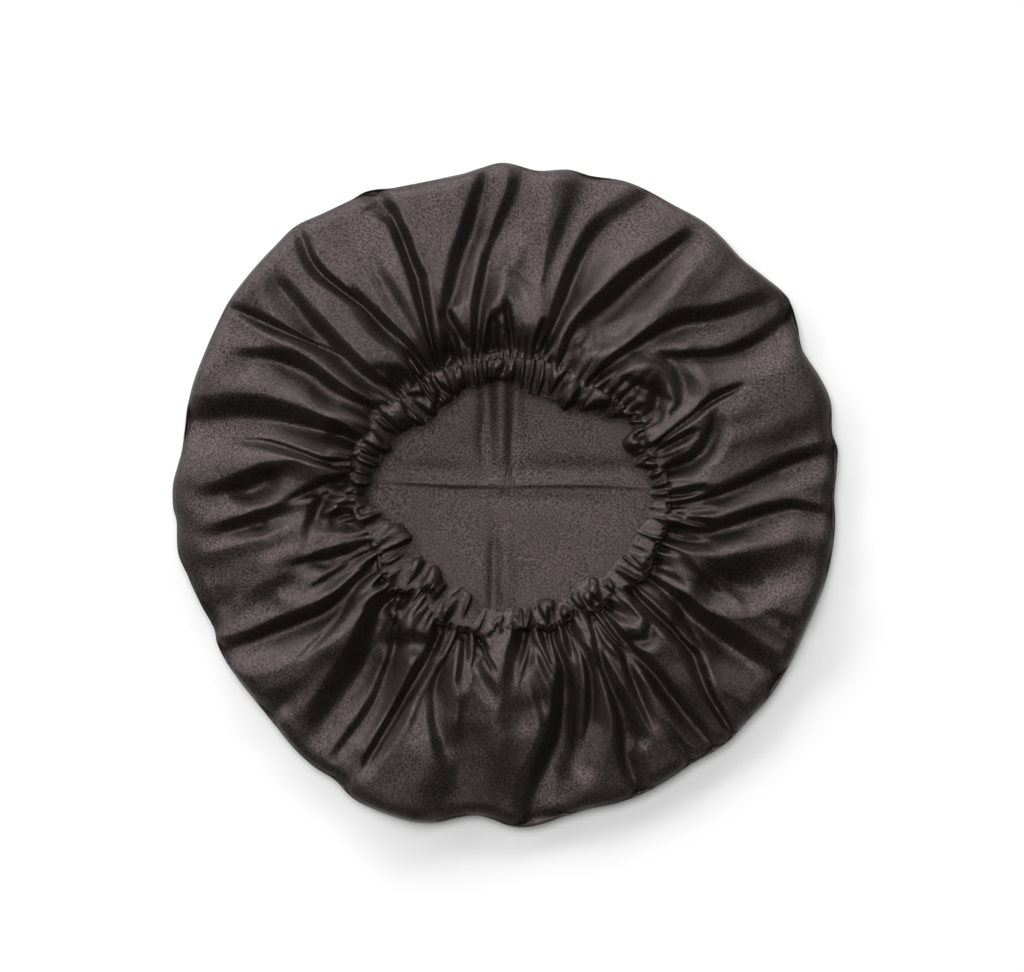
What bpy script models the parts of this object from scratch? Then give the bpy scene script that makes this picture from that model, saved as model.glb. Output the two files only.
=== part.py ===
"""Satin sleep bonnet, laid on its crown with its gathered mouth up. Metres, +Z up, resting on Z = 0."""

import math
from collections import namedtuple

import bmesh
import bpy
from mathutils import Vector

# Driving sizes, in metres
RIM_RADIUS = 0.179  # middle of the bonnet to its rim as it lies, before dents and bulges
RIM_LEVEL = 0.006  # height of the rim's outermost line
RIM_ROUND = 0.0085  # how far the flat crown panel stays inside the rim
PUFF_HEIGHT = 0.031  # height of the gathered cloth at its fullest
FOLD_DEPTH = 0.0125  # deepest valley below the ridges beside it
CLOTH = 0.0012  # thickness of the crown's wall
MOUTH_RADIUS = 0.063  # middle to the mouth's edge with the elastic at rest
CASING_LEVEL = 0.0155  # height of the casing's middle plane
CASING_LIFT = 0.003  # how far that plane rises and falls round the mouth
CASING_WALL = 0.001  # thickness of the casing's folded cloth
PUCKER_HEIGHT = 0.0024  # how far the casing's gathers stand off the elastic
PUCKER_REACH = 0.0011  # how far they scallop the mouth's edge
ELASTIC_WIDTH = 0.009
ELASTIC_THICKNESS = 0.0012
CASING_EASE = 0.001  # room in the tunnel between the elastic and the crown's edge
SEAM_LAP = 0.0036  # the crown's edge held between the casing's two leaves
CLEARANCE = 0.00035  # between pieces that touch on the real thing
CREASE_HEIGHT = 0.0016  # pressed creases across the crown panel
CREASE_HALF_WIDTH = 0.0055

# Worked out from them
ELASTIC_INSET = CASING_WALL + 2 * CLEARANCE  # mouth's edge to the elastic
CASING_WIDTH = ELASTIC_INSET + ELASTIC_WIDTH + CASING_EASE + SEAM_LAP  # mouth's edge to the stitching
TUNNEL_HALF = max(ELASTIC_THICKNESS, CLOTH) / 2 + CLEARANCE  # middle plane to the tunnel's wall

# The grid that the cloth is made on
COLUMNS_PER_FOLD = 4
RIDGE_SHARE = 0.5  # where the ridge stands, as a share of the way from one valley to the next
PUCKERS = 24
COLUMNS_PER_PUCKER = 4

# Materials: colour and roughness
SATIN_COLOUR = (0.052, 0.042, 0.041, 1.0)
SATIN_ROUGHNESS = 0.42
CASING_COLOUR = (0.047, 0.039, 0.037, 1.0)
CASING_ROUGHNESS = 0.46
ELASTIC_COLOUR = (0.03, 0.03, 0.03, 1.0)
ELASTIC_ROUGHNESS = 0.8

# One row for each valley of the gathered cloth, counter-clockwise from +X.
# It starts at the seam, passes the middle of the cloth and ends at the rim, at these degrees,
# with these shares of FOLD_DEPTH. dent and bulge are the rim's radius at the valley and at the
# ridge after it, as shares of RIM_RADIUS.
Fold = namedtuple("Fold", "seam_deg mid_deg rim_deg seam mid rim dent bulge")
FOLDS = [
    Fold(-2, 4.5, 8, 0.6, 1.0, 0.7, 1.003, 1.004),
    Fold(8, 12, 12, 0.7, 0.3, 0.3, 1.002, 1.018),
    Fold(18, 24, 26, 0.8, 0.5, 0.6, 0.998, 1.022),
    Fold(31, 30.5, 31.5, 0.5, 0.2, 0.2, 1.024, 1.033),
    Fold(46, 36, 35, 0.7, 0.8, 0.6, 1.037, 1.032),
    Fold(54, 46.5, 41, 0.8, 1.0, 0.4, 1.020, 1.013),
    Fold(61, 54, 47, 0.5, 0.4, 0.5, 1.009, 1.016),
    Fold(69, 62, 57, 1.0, 1.0, 0.3, 1.015, 1.014),
    Fold(77, 74, 69, 0.6, 0.8, 0.6, 1.013, 1.003),
    Fold(84, 80, 76, 0.6, 0.3, 0.4, 0.999, 1.001),
    Fold(91, 88, 84.5, 0.7, 0.4, 0.5, 0.986, 1.001),
    Fold(101, 95.5, 90, 0.65, 1.0, 0.8, 1.003, 0.992),
    Fold(107, 103, 98, 0.6, 0.7, 0.5, 0.980, 0.978),
    Fold(117, 112.5, 110, 0.7, 1.0, 0.9, 0.988, 1.008),
    Fold(122, 125.5, 121, 0.9, 0.6, 0.4, 1.010, 1.031),
    Fold(129, 131, 131, 0.6, 0.3, 0.4, 1.028, 1.025),
    Fold(136, 137.5, 137, 0.8, 1.0, 0.4, 1.024, 1.024),
    Fold(141, 142, 144, 0.5, 0.8, 0.6, 1.022, 1.016),
    Fold(146.5, 147.5, 151, 0.9, 0.8, 0.3, 1.011, 1.006),
    Fold(157, 160, 162.5, 0.8, 1.0, 0.7, 1.001, 0.995),
    Fold(166, 167.5, 171.5, 0.6, 0.7, 0.6, 0.987, 0.998),
    Fold(173, 175, 177.5, 0.7, 1.0, 0.3, 1.005, 1.005),
    Fold(180, 184, 185, 0.6, 0.8, 0.4, 0.997, 1.004),
    Fold(189, 192, 194.5, 0.6, 0.3, 0.6, 0.990, 0.979),
    Fold(198, 198.5, 200, 0.8, 0.3, 0.4, 0.978, 0.973),
    Fold(206.5, 210, 205.5, 1.0, 1.0, 0.7, 0.969, 0.982),
    Fold(213, 217, 213, 0.5, 0.4, 0.3, 0.981, 0.979),
    Fold(220, 228, 223, 0.8, 1.0, 0.6, 0.977, 0.994),
    Fold(228, 236, 233, 0.55, 0.8, 0.35, 1.002, 1.004),
    Fold(243, 243, 240, 0.9, 0.9, 0.8, 1.006, 1.028),
    Fold(252, 253, 253, 0.9, 0.8, 0.5, 1.024, 1.002),
    Fold(260, 262, 264.5, 0.9, 0.3, 0.9, 0.970, 0.980),
    Fold(272, 270, 270, 0.8, 0.4, 0.5, 0.994, 1.003),
    Fold(287.5, 281, 275, 1.0, 1.0, 1.0, 1.001, 0.986),
    Fold(294, 289, 285, 0.8, 0.9, 0.6, 0.979, 0.988),
    Fold(301, 297, 294, 0.8, 0.85, 0.45, 0.991, 0.990),
    Fold(307, 303.5, 304, 0.8, 0.7, 0.7, 0.985, 0.996),
    Fold(313, 310.5, 311, 0.9, 1.0, 0.5, 0.999, 0.998),
    Fold(324, 319, 317, 0.9, 1.0, 0.6, 0.996, 1.000),
    Fold(332, 328.3, 328, 0.7, 1.0, 0.8, 0.996, 0.994),
    Fold(341, 342, 337, 0.9, 1.0, 0.4, 0.993, 0.999),
    Fold(350, 355, 357.5, 0.8, 1.0, 0.6, 0.990, 0.991),
]

# The mouth's outline: reach is the edge's radius as a share of MOUTH_RADIUS, and lift its level
# as a share of CASING_LIFT.
MouthPoint = namedtuple("MouthPoint", "deg reach lift")
MOUTH = [
    MouthPoint(0, 1.22, 0.2),
    MouthPoint(9, 1.20, 0.0),
    MouthPoint(17, 1.11, 0.3),
    MouthPoint(24, 1.10, 0.8),
    MouthPoint(31, 1.19, 1.0),
    MouthPoint(39, 1.07, 0.6),
    MouthPoint(47, 0.95, 0.0),
    MouthPoint(56, 0.89, -0.6),
    MouthPoint(66, 0.88, -0.3),
    MouthPoint(76, 0.88, 0.2),
    MouthPoint(85, 0.95, 0.5),
    MouthPoint(93, 0.98, 0.6),
    MouthPoint(104, 0.955, 0.1),
    MouthPoint(117, 0.92, -0.2),
    MouthPoint(128, 0.915, 0.3),
    MouthPoint(138, 0.90, 0.6),
    MouthPoint(146, 1.01, 0.0),
    MouthPoint(157, 1.06, -0.4),
    MouthPoint(167, 1.12, 0.0),
    MouthPoint(176, 1.14, 0.4),
    MouthPoint(184, 1.115, 0.6),
    MouthPoint(192, 1.02, 0.4),
    MouthPoint(200, 0.915, 0.2),
    MouthPoint(209, 0.875, 0.4),
    MouthPoint(220, 0.88, -0.2),
    MouthPoint(232, 0.86, 0.3),
    MouthPoint(245, 0.87, 0.7),
    MouthPoint(256, 0.92, 0.0),
    MouthPoint(266, 0.97, -0.5),
    MouthPoint(280, 0.965, 0.0),
    MouthPoint(290, 0.94, 0.5),
    MouthPoint(299, 1.00, 0.1),
    MouthPoint(309, 0.945, 0.5),
    MouthPoint(319, 1.05, 0.6),
    MouthPoint(330, 1.085, 0.0),
    MouthPoint(341, 1.13, 0.4),
    MouthPoint(351, 1.19, 0.7),
]

# Rings of the cloth from the seam to the rim: out is the share of the way in plan, and height
# the share of PUFF_HEIGHT that the ridges stand.
Ring = namedtuple("Ring", "out height")
PUFF_RINGS = [
    Ring(0.05, 0.66),
    Ring(0.14, 0.86),
    Ring(0.28, 0.98),
    Ring(0.45, 1.0),
    Ring(0.63, 0.93),
    Ring(0.80, 0.78),
    Ring(0.92, 0.58),
]
# Where the cloth turns under the rim to the flat panel: inward is the share of RIM_ROUND inside the
# rim, level the share of RIM_LEVEL, and fold the share of the fold's depth there.
RimPoint = namedtuple("RimPoint", "inward level fold")
RIM_POINTS = [
    RimPoint(0.15, 1.95, 1.0),
    RimPoint(0.0, 1.0, 0.0),
    RimPoint(1.0, 0.0, 0.0),
]
# Share of the way at which a fold's seam, mid and rim depths apply
SEAM_STATION, MID_STATION, RIM_STATION = 0.1, 0.45, 0.74
# How deep a fold still is where the cloth meets the seam and where it turns under the rim
SEAM_END_SHARE, RIM_END_SHARE = 0.25, 0.22
# Depth of the flank halfway between valley and ridge, which makes ridges round and valleys narrow
FLANK_DEPTH = 0.34
# Ridges between valleys this far apart stand to the full height, and the narrowest ones lower
FULL_RIDGE_DEG = 12
NARROW_RIDGE_HEIGHT = 0.84
# The most that a steep flank's wall grows in height to keep its thickness across
MOST_WALL_STRETCH = 2.1

# Half of the casing's section, from the stitching to the mouth's edge: out is the share of
# CASING_WIDTH, shell the share of the flat casing's half thickness, gather the share of
# PUCKER_HEIGHT, and reach the share of PUCKER_REACH.
CasingPoint = namedtuple("CasingPoint", "out shell gather reach")
CASING_POINTS = [
    CasingPoint(1.0, 1.0, 0.0, 0.0),
    CasingPoint(0.58, 1.0, 1.0, 0.0),
    CasingPoint(0.16, 1.0, 0.7, 0.0),
    CasingPoint(0.0, 0.6, 0.25, 1.0),
]
# Below 1 the gathers have broad tops and narrow creases between them
PUCKER_POWER = 0.7

# The panel's pressed creases: deg is the direction, length the share of the flat panel's radius, and
# wander how far the far end strays sideways, as a share of CREASE_HALF_WIDTH.
Crease = namedtuple("Crease", "deg length wander")
CREASES = [
    Crease(-2, 0.80, 0.3),
    Crease(91, 0.62, -0.6),
    Crease(177, 0.82, 0.4),
    Crease(266, 0.66, 0.7),
]
# Along a crease: along is the share of its length, height of CREASE_HEIGHT, and width of its half width
CreaseStation = namedtuple("CreaseStation", "along height width")
CREASE_STATIONS = [
    CreaseStation(0.2, 1.0, 1.0),
    CreaseStation(0.5, 0.85, 0.9),
    CreaseStation(0.8, 0.55, 0.75),
]


def clear_scene():
    for obj in list(bpy.data.objects):
        bpy.data.objects.remove(obj, do_unlink=True)


def satin(name, colour, roughness):
    material = bpy.data.materials.new(name)
    material.use_nodes = True
    shader = material.node_tree.nodes["Principled BSDF"]
    shader.inputs["Base Color"].default_value = colour
    shader.inputs["Roughness"].default_value = roughness
    shader.inputs["Metallic"].default_value = 0.0
    material.diffuse_color = colour
    return material


def add_object(name, mesh_builder, material):
    """Makes the named object from a bmesh, with its faces pointing out and its curves smooth."""
    bmesh.ops.recalc_face_normals(mesh_builder, faces=mesh_builder.faces)
    mesh = bpy.data.meshes.new(name)
    mesh_builder.to_mesh(mesh)
    mesh_builder.free()
    mesh.shade_smooth()
    mesh.set_sharp_from_angle(angle=math.radians(70))
    mesh.materials.append(material)
    obj = bpy.data.objects.new(name, mesh)
    bpy.context.scene.collection.objects.link(obj)
    return obj


def mix(a, b, share):
    return a + (b - a) * share


def round_curve(rows, deg, column):
    """Smooth closed curve through the rows' values at their degrees."""
    count = len(rows)
    deg %= 360
    after = next((i for i, row in enumerate(rows) if row.deg > deg), count)
    picks = [rows[(after + k) % count] for k in (-2, -1, 0, 1)]
    before, start, end, beyond = [getattr(row, column) for row in picks]
    span = (picks[2].deg - picks[1].deg) % 360
    t = ((deg - picks[1].deg) % 360) / span
    return start + 0.5 * t * (
        end - before
        + t * (2 * before - 5 * start + 4 * end - beyond + t * (3 * (start - end) + beyond - before))
    )


def mouth_radius(deg):
    return MOUTH_RADIUS * round_curve(MOUTH, deg, "reach")


def casing_level(deg):
    return CASING_LEVEL + CASING_LIFT * round_curve(MOUTH, deg, "lift")


def at(radius, deg, height):
    angle = math.radians(deg)
    return Vector((radius * math.cos(angle), radius * math.sin(angle), height))


def fold_deg(fold, out):
    """Where the valley runs at this share of the way from seam to rim."""
    if out < MID_STATION:
        return mix(fold.seam_deg, fold.mid_deg, max(0.0, out) / MID_STATION)
    return mix(fold.mid_deg, fold.rim_deg, min(1.0, (out - MID_STATION) / (1 - MID_STATION)))


def fold_depth(fold, out):
    """Share of FOLD_DEPTH at this share of the way from seam to rim."""
    stations = [
        (0.0, SEAM_END_SHARE * fold.seam),
        (SEAM_STATION, fold.seam),
        (MID_STATION, fold.mid),
        (RIM_STATION, fold.rim),
        (1.0, RIM_END_SHARE * fold.rim),
    ]
    for (start, low), (end, high) in zip(stations, stations[1:]):
        if out <= end:
            return mix(low, high, max(0.0, out - start) / (end - start))
    return stations[-1][1]


class Column:
    """One line of the cloth from seam to rim: a valley, a ridge or a flank between them."""

    def __init__(self, index):
        number = index // COLUMNS_PER_FOLD
        last = number == len(FOLDS) - 1
        self.fold = FOLDS[number]
        self.next_fold = FOLDS[0] if last else FOLDS[number + 1]
        self.turn = 360 if last else 0
        self.share = (index % COLUMNS_PER_FOLD) / COLUMNS_PER_FOLD  # of the way to the next valley
        self.nearest = self.fold if self.share <= RIDGE_SHARE else self.next_fold
        self.from_ridge = abs(self.share - RIDGE_SHARE) / RIDGE_SHARE  # 0 on the ridge, 1 in a valley

    def pitch(self, out):
        """Degrees from this valley to the next."""
        return fold_deg(self.next_fold, out) + self.turn - fold_deg(self.fold, out)

    def deg(self, out):
        return fold_deg(self.fold, out) + self.pitch(out) * self.share

    def depth(self, out):
        """How far the cloth lies below the ridges."""
        flank = 2 * FLANK_DEPTH * self.from_ridge
        return FOLD_DEPTH * fold_depth(self.nearest, out) * (flank if self.from_ridge < 1 else 1.0)

    def crest(self):
        """Share of the full height: wide ridges stand fuller than narrow ones."""
        ridge = mix(NARROW_RIDGE_HEIGHT, 1.0, min(1.0, self.pitch(MID_STATION) / FULL_RIDGE_DEG))
        valley = mix(NARROW_RIDGE_HEIGHT, 1.0, 0.5)
        return mix(ridge, valley, self.from_ridge)

    def rim_radius(self):
        return RIM_RADIUS * mix(self.fold.bulge, self.nearest.dent, self.from_ridge)

    def seam_radius(self, out):
        return mouth_radius(self.deg(out)) + CASING_WIDTH

    def radius(self, out):
        return mix(self.seam_radius(out), self.rim_radius(), out)

    def outer_profile(self, folded=True):
        """(radius, height, deg) of the outer skin, from inside the casing to the flat panel's edge."""
        seam, edge_deg = self.seam_radius(0), self.deg(0)
        lap_top = casing_level(edge_deg) + CLOTH / 2
        profile = [(seam - SEAM_LAP, lap_top, edge_deg), (seam + CLEARANCE, lap_top, edge_deg)]
        for ring in PUFF_RINGS:
            height = PUFF_HEIGHT * ring.height * self.crest() - folded * self.depth(ring.out)
            profile.append((self.radius(ring.out), height, self.deg(ring.out)))
        for point in RIM_POINTS:
            height = RIM_LEVEL * point.level - folded * point.fold * self.depth(1)
            profile.append((self.rim_radius() - RIM_ROUND * point.inward, height, self.deg(1)))
        return profile

    def inner_profile(self):
        """The inner skin: the outer one moved in by the wall, square to the unfolded cloth."""
        smooth = self.outer_profile(folded=False)
        first_ring = len(smooth) - len(RIM_POINTS) - len(PUFF_RINGS)
        inner = []
        for i, (radius, height, deg) in enumerate(self.outer_profile()):
            before, after = smooth[max(0, i - 1)], smooth[min(len(smooth) - 1, i + 1)]
            along = Vector((after[0] - before[0], after[1] - before[1]))
            if i < first_ring:
                along = Vector((1.0, 0.0))
            if i == len(smooth) - 1:
                along = Vector((-1.0, 0.0))
            along.normalize()
            wall = CLOTH * self.wall_stretch(i - first_ring)
            inner.append((radius + along.y * wall, height - along.x * wall, deg))
        return inner

    def wall_stretch(self, ring):
        """A steep flank needs a taller wall for the same thickness across it."""
        if not 0 <= ring < len(PUFF_RINGS):
            return 1.0
        out = PUFF_RINGS[ring].out
        column_width = self.radius(out) * math.radians(self.pitch(out)) / COLUMNS_PER_FOLD
        slope = FOLD_DEPTH * fold_depth(self.nearest, out) * (1 - FLANK_DEPTH) / column_width
        return min(MOST_WALL_STRETCH, math.hypot(1, slope))


def ring_of_faces(builder, first, second):
    count = len(first)
    for i in range(count):
        after = (i + 1) % count
        builder.faces.new((first[i], first[after], second[after], second[i]))


def crease_cross(builder, panel_radius):
    """The raised creases on the panel's inner face. Returns the edges of their foot line."""
    base, crest = CLOTH, CLOTH + CREASE_HEIGHT
    centre = builder.verts.new((0, 0, crest))
    corners = []
    for i, crease in enumerate(CREASES):
        after = CREASES[(i + 1) % len(CREASES)]
        between = (crease.deg + (after.deg - crease.deg) % 360 / 2) % 360
        corners.append(builder.verts.new(at(CREASE_HALF_WIDTH * math.sqrt(2), between, base)))
    foot_edges = []
    for i, crease in enumerate(CREASES):
        length = crease.length * panel_radius
        left, middle, right = corners[i], centre, corners[i - 1]
        direction = at(1, crease.deg, 0)
        side = at(1, crease.deg + 90, 0)
        stray = side * crease.wander * CREASE_HALF_WIDTH
        for station in CREASE_STATIONS:
            spot = direction * length * station.along + stray * station.along**2
            half = side * CREASE_HALF_WIDTH * station.width
            row = [
                builder.verts.new(spot + half + Vector((0, 0, base))),
                builder.verts.new(spot + Vector((0, 0, mix(base, crest, station.height)))),
                builder.verts.new(spot - half + Vector((0, 0, base))),
            ]
            builder.faces.new((left, row[0], row[1], middle))
            builder.faces.new((middle, row[1], row[2], right))
            foot_edges.append(builder.edges.get((left, row[0])))
            foot_edges.append(builder.edges.get((right, row[2])))
            left, middle, right = row
        tip = builder.verts.new(direction * length + stray + Vector((0, 0, base)))
        builder.faces.new((left, tip, middle))
        builder.faces.new((middle, tip, right))
        foot_edges.append(builder.edges.get((left, tip)))
        foot_edges.append(builder.edges.get((right, tip)))
    return foot_edges


def build_crown(material):
    """The bag of cloth: flat crown panel underneath, rounded rim, and gathered folds up to the casing."""
    builder = bmesh.new()
    columns = [Column(i) for i in range(len(FOLDS) * COLUMNS_PER_FOLD)]
    outer = [[builder.verts.new(at(r, d, z)) for r, z, d in c.outer_profile()] for c in columns]
    inner = [[builder.verts.new(at(r, d, z)) for r, z, d in c.inner_profile()] for c in columns]
    outer_rings = [list(ring) for ring in zip(*outer)]
    inner_rings = [list(ring) for ring in zip(*inner)]
    for rings in (outer_rings, inner_rings):
        for first, second in zip(rings, rings[1:]):
            ring_of_faces(builder, first, second)
    ring_of_faces(builder, outer_rings[0], inner_rings[0])
    builder.faces.new(outer_rings[-1])
    panel = inner_rings[-1]
    panel_edges = [builder.edges.get((panel[i], panel[i - 1])) for i in range(len(panel))]
    foot_edges = crease_cross(builder, RIM_RADIUS - RIM_ROUND)
    bmesh.ops.triangle_fill(builder, edges=panel_edges + foot_edges, use_beauty=True, use_dissolve=False)
    return add_object("crown", builder, material)


def pucker_wave(index):
    """0 in the crease between two gathers and 1 on top of one."""
    return math.sin(math.pi * (index % COLUMNS_PER_PUCKER) / COLUMNS_PER_PUCKER) ** PUCKER_POWER


def casing_section(wave):
    """(distance from the mouth's edge, height) round the folded casing, outer leaf then inner."""
    upper_outer = [
        (
            point.out * CASING_WIDTH - point.reach * PUCKER_REACH * wave,
            point.shell * (TUNNEL_HALF + CASING_WALL) + point.gather * PUCKER_HEIGHT * wave,
        )
        for point in CASING_POINTS
    ]
    crest = CASING_POINTS[1]
    upper_inner = [
        (CASING_WALL + CLEARANCE, TUNNEL_HALF),
        (crest.out * CASING_WIDTH, TUNNEL_HALF + crest.gather * PUCKER_HEIGHT * wave),
        (CASING_WIDTH, TUNNEL_HALF),
    ]
    lower_outer = [(out, -height) for out, height in reversed(upper_outer)]
    lower_inner = [(out, -height) for out, height in reversed(upper_inner)]
    return upper_outer + lower_outer + lower_inner + upper_inner


def swept_round_mouth(name, section_at, material):
    """A closed ring round the mouth: section_at gives (distance from its edge, height) at each column."""
    builder = bmesh.new()
    count = PUCKERS * COLUMNS_PER_PUCKER
    sections = []
    for i in range(count):
        deg = 360 * i / count
        edge, level = mouth_radius(deg), casing_level(deg)
        section = [at(edge + out, deg, level + height) for out, height in section_at(i)]
        sections.append([builder.verts.new(point) for point in section])
    rings = [list(ring) for ring in zip(*sections)]
    for first, second in zip(rings, rings[1:] + rings[:1]):
        ring_of_faces(builder, first, second)
    return add_object(name, builder, material)


def build_casing(material):
    """The gathered tunnel round the mouth: one strip folded over the elastic, open to the crown's edge."""
    return swept_round_mouth("casing", lambda i: casing_section(pucker_wave(i)), material)


def build_elastic(material):
    """The flat elastic band inside the casing."""
    inside, outside, half = ELASTIC_INSET, ELASTIC_INSET + ELASTIC_WIDTH, ELASTIC_THICKNESS / 2
    section = [(inside, half), (outside, half), (outside, -half), (inside, -half)]
    return swept_round_mouth("elastic", lambda i: section, material)


def centre_on_origin(objects):
    """Moves the pieces together so that the middle of their common box is over the origin."""
    corners = [obj.matrix_world @ Vector(corner) for obj in objects for corner in obj.bound_box]
    middle_x = (min(c.x for c in corners) + max(c.x for c in corners)) / 2
    middle_y = (min(c.y for c in corners) + max(c.y for c in corners)) / 2
    for obj in objects:
        obj.location = (-middle_x, -middle_y, 0)


def main():
    clear_scene()
    crown = build_crown(satin("satin", SATIN_COLOUR, SATIN_ROUGHNESS))
    casing = build_casing(satin("gathered_satin", CASING_COLOUR, CASING_ROUGHNESS))
    elastic = build_elastic(satin("elastic", ELASTIC_COLOUR, ELASTIC_ROUGHNESS))
    centre_on_origin([crown, casing, elastic])


main()
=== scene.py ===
"""Looks of the gathered satin sleep bonnet: cloth, casing, elastic, stitches, floor, light and camera."""

import math
from collections import namedtuple

import bpy
import numpy as np
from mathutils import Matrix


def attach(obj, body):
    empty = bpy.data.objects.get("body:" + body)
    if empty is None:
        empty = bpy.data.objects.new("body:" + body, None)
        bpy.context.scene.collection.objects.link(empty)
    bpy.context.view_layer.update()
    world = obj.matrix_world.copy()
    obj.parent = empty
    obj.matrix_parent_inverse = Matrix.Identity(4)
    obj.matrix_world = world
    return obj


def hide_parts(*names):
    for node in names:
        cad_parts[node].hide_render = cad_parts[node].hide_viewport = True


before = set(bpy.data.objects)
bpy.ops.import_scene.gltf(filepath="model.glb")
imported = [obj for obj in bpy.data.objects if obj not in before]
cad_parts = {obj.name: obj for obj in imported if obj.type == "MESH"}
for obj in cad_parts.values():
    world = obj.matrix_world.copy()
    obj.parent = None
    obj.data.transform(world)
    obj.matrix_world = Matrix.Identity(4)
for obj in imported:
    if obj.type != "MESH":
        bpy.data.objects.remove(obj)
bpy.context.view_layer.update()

# The photo's scale. A place on the cloth is written as px from the middle of the bonnet's plan in the
# photo, and deg anticlockwise from the photo's right.
PIXEL = 0.000539  # metres on the object
MIDDLE_X, MIDDLE_Y = 506.0, 495.5  # the plan's middle in the photo

MM = 0.001
RIM_LEVEL = 6.0 * MM  # height of the rim's outermost line
RIM_TUCK = 8.5 * MM  # how far the flat panel's edge stays inside the rim
PUFF_HEIGHT = 26.5 * MM
PUFF_FALL = 13.0 * MM  # how much lower the puffs are where they turn down at the rim
RIM_ROLL = 4.0 * MM  # how much further they roll down just inside the rim
ROLL_WIDTH = 9.0 * MM
RIM_BEND = 2.5 * MM  # how far inside the rim the cloth starts to bend down
PANEL_LEVEL = 0.3 * MM
SEAM_LEVEL = 18.0 * MM
CASING_RISE = 6.5 * MM  # how far the casing's pillows stand over the seam
EDGE_SAG = 5.0 * MM  # how far the casing's edge round the mouth hangs below the seam
SEAM_PINCH = 2.0 * MM  # how far the stitches pull the casing down at the seam
CASING_DROP = 3.0 * MM  # how far the casing's lower leaf lies under the seam
TUCKED = 5.0  # px of the crown's edge that the casing hides
DOME_START = 0.2  # share of the way to the rim where the cloth starts to turn down
CROWN_COLUMNS = 1088
INNER_ROWS = 14
OUTER_ROWS = 49
UNDER_ROWS = 4
CASING_COLUMNS = 1440
SEED = 7

# Radius in px of the rim, of the casing's edge round the mouth and of the seam, at each degree
RIM = [
    (0, 329.3), (5, 333), (8, 335.7), (11, 333.3), (16, 338.7), (20, 337), (25, 331.7), (27, 332),
    (30, 338), (34, 344.3), (36, 344.7), (40, 339.7), (45, 335), (50, 337.3), (54, 338.7), (60, 336.3),
    (67, 337.3), (70, 336.3), (75, 331.7), (79, 332.7), (84.5, 327.3), (90.5, 333.7), (95, 328.7),
    (98, 325.3), (104, 324.7), (110, 328.3), (114.5, 335.3), (118, 334.7), (123, 337.3), (128, 342.7),
    (133, 341), (140, 340), (145, 339.3), (150, 336.3), (155, 334.3), (160, 333.3), (165, 331.3),
    (168, 329), (172, 328), (175, 330.7), (178, 334), (182, 334), (184.5, 331.3), (190, 333.7),
    (194, 329.3), (200, 324.7), (204.5, 321.7), (207, 325.3), (210, 326.3), (215, 325.7), (220, 325),
    (225, 326.7), (230, 331), (235, 333.3), (239, 333), (243, 340), (246, 341.3), (254, 340.3),
    (258, 335), (262, 325.7), (265, 322.3), (268, 325.7), (270, 330.3), (273, 333.3), (277, 330.7),
    (280, 327), (285, 325.3), (290, 328), (295, 329), (300, 328), (305, 327.3), (310, 331),
    (312.5, 332.3), (317, 331), (323, 332.3), (330, 330.7), (335, 329.3), (340, 330), (345, 331.7),
    (350, 332), (355, 331.3),
]
MOUTH = [
    (0, 142), (5, 144), (8, 140), (10, 141), (12.5, 132), (15, 131.5), (20, 127), (23, 126.5),
    (25.5, 129), (27, 139), (30, 142), (33, 141), (35, 133), (38, 125), (41, 121), (45, 115), (50, 110),
    (53, 107), (55, 102), (58, 103), (60, 106), (65, 105), (70, 103), (75, 104), (78, 103), (80, 104),
    (83, 108), (86, 113), (90, 115), (95, 115), (98, 114), (102, 112), (108, 111), (110, 114),
    (113, 114), (115, 111), (116.5, 107), (120, 109), (125, 109), (128, 110), (131, 106), (134, 106),
    (136, 107), (138, 106), (140, 109), (143, 115), (146, 118), (150, 122), (152, 124), (156, 122),
    (160, 124), (162, 128), (166, 128), (168, 131), (172, 131), (174, 133), (176, 136), (180, 137),
    (183, 135), (185, 128), (186.5, 122), (190, 120), (192.5, 118), (194, 111), (197, 106), (200, 104),
    (203, 101.5), (206, 103), (210, 104), (213, 103), (217, 104.5), (221, 102), (224, 98.5), (228, 98.5),
    (231, 101), (234, 106), (237, 105.5), (241, 104), (245, 101), (248, 103.5), (252, 105), (256, 109),
    (260, 112.5), (264, 112.5), (268, 114), (270.5, 112), (272.5, 110), (275, 113), (278.5, 111),
    (281, 114), (284, 115), (287, 111), (290.5, 109.5), (294, 112.5), (297, 117), (300, 116.5),
    (303, 114), (306, 110), (310, 110.5), (313, 113), (316, 116.5), (319, 124), (323, 125), (327, 126),
    (331, 126.5), (333, 131.5), (338, 131.5), (342, 132.5), (347, 134.5), (350, 139), (354, 141),
    (357, 143),
]
SEAM = [
    (0, 163), (5, 163), (9, 161), (13, 158), (17, 153), (22, 149), (25, 153), (27, 160), (30, 158),
    (34, 150), (40, 149), (45, 148), (50, 146), (54, 139), (57, 135), (60, 135), (63, 141), (66, 143),
    (70, 143), (75, 145), (80, 143), (85, 143), (90, 143), (95, 142), (98, 141), (103, 140), (106, 142),
    (110, 142), (115, 141), (120, 143), (125, 145), (130, 144), (135, 145), (140, 149), (145, 154),
    (150, 153), (155, 151), (160, 156), (165, 157), (170, 157), (175, 158), (180, 157), (184, 154),
    (190, 151), (195, 147), (200, 143), (205, 141), (210, 145), (215, 146), (219, 147), (222, 144),
    (225, 136), (228, 132), (232, 134), (235, 141), (238, 143), (241, 145), (245, 143), (250, 143),
    (254, 141), (258, 142), (262, 143), (266, 141), (270, 135), (275, 134), (280, 134), (284, 136),
    (288, 141), (292, 140), (298, 139), (302, 139), (305, 144), (308, 147), (312, 147), (316, 147),
    (320, 149), (325, 157), (328, 161), (332, 162), (336, 160), (340, 160), (345, 162), (350, 164),
    (355, 164),
]

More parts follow.
